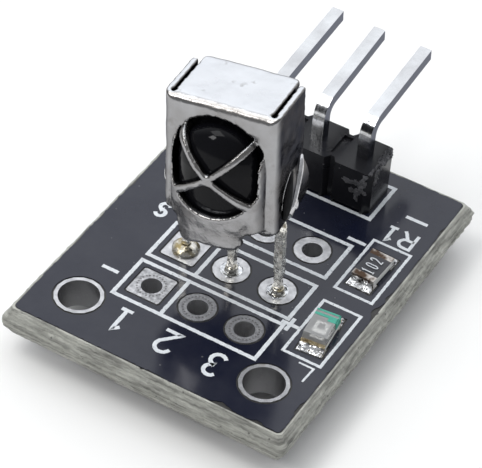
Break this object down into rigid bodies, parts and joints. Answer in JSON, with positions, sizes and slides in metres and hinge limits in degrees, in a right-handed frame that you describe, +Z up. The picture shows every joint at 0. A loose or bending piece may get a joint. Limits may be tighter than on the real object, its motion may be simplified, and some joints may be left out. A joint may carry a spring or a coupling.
{
  "type": "infrared receiver module",
  "caption": "Small circuit board with a shielded infrared receiver on long leads, a right-angle pin header, a chip resistor, a chip lamp and plated mounting holes.",
  "frame": {"origin": "midway between the two mounting holes, on the underside of the board", "axes": "+X along the front edge from the square pads to the chip side, +Y along the board towards the header and its pins, +Z up out of the component side"},
  "size_m": [0.015, 0.0224, 0.0141],
  "materials": {
    "laminate": "snapped glass-fibre laminate",
    "solder_mask": "glossy black lacquer",
    "tinned_pad": "tinned copper",
    "header_plastic": "glossy black nylon",
    "pin_plating": "bright tin plating",
    "solder": "bright solder",
    "can_steel": "tinned sheet steel",
    "receiver_epoxy": "polished black epoxy",
    "lead_plating": "tinned, crinkled",
    "silicon": "bare silicon",
    "white_ceramic": "white alumina",
    "black_glaze": "black glaze",
    "chip_plating": "tinned end caps",
    "lamp_laminate": "white substrate",
    "lamp_resin": "clear resin",
    "lamp_die": "light-emitting chip",
    "chip_gold": "gold flash"
  },
  "bodies": {
    "root": {"circuit_board": "laminate", "solder_mask_top": "solder_mask", "solder_mask_bottom": "solder_mask", "mounting_ring_left": "tinned_pad", "mounting_ring_right": "tinned_pad", "front_row_pads": "tinned_pad", "receiver_row_pads": "tinned_pad", "rear_row_pads": "tinned_pad", "header_row_pads": "tinned_pad", "resistor_lands": "tinned_pad", "lamp_lands": "tinned_pad", "header_block": "header_plastic", "header_pin_left": "pin_plating", "header_pin_middle": "pin_plating", "header_pin_right": "pin_plating", "header_joints": "solder", "shield_can": "can_steel", "receiver_body": "receiver_epoxy", "receiver_lead_signal": "lead_plating", "receiver_lead_ground": "lead_plating", "receiver_lead_supply": "lead_plating", "photodiode_chip": "silicon", "amplifier_chip": "silicon", "receiver_joints": "solder", "resistor_core": "white_ceramic", "resistor_coat": "black_glaze", "resistor_caps": "chip_plating", "resistor_solder": "solder", "lamp_base": "lamp_laminate", "lamp_lens": "lamp_resin", "lamp_chip": "lamp_die", "lamp_caps": "chip_gold", "lamp_solder": "solder"}
  },
  "joints": []
}
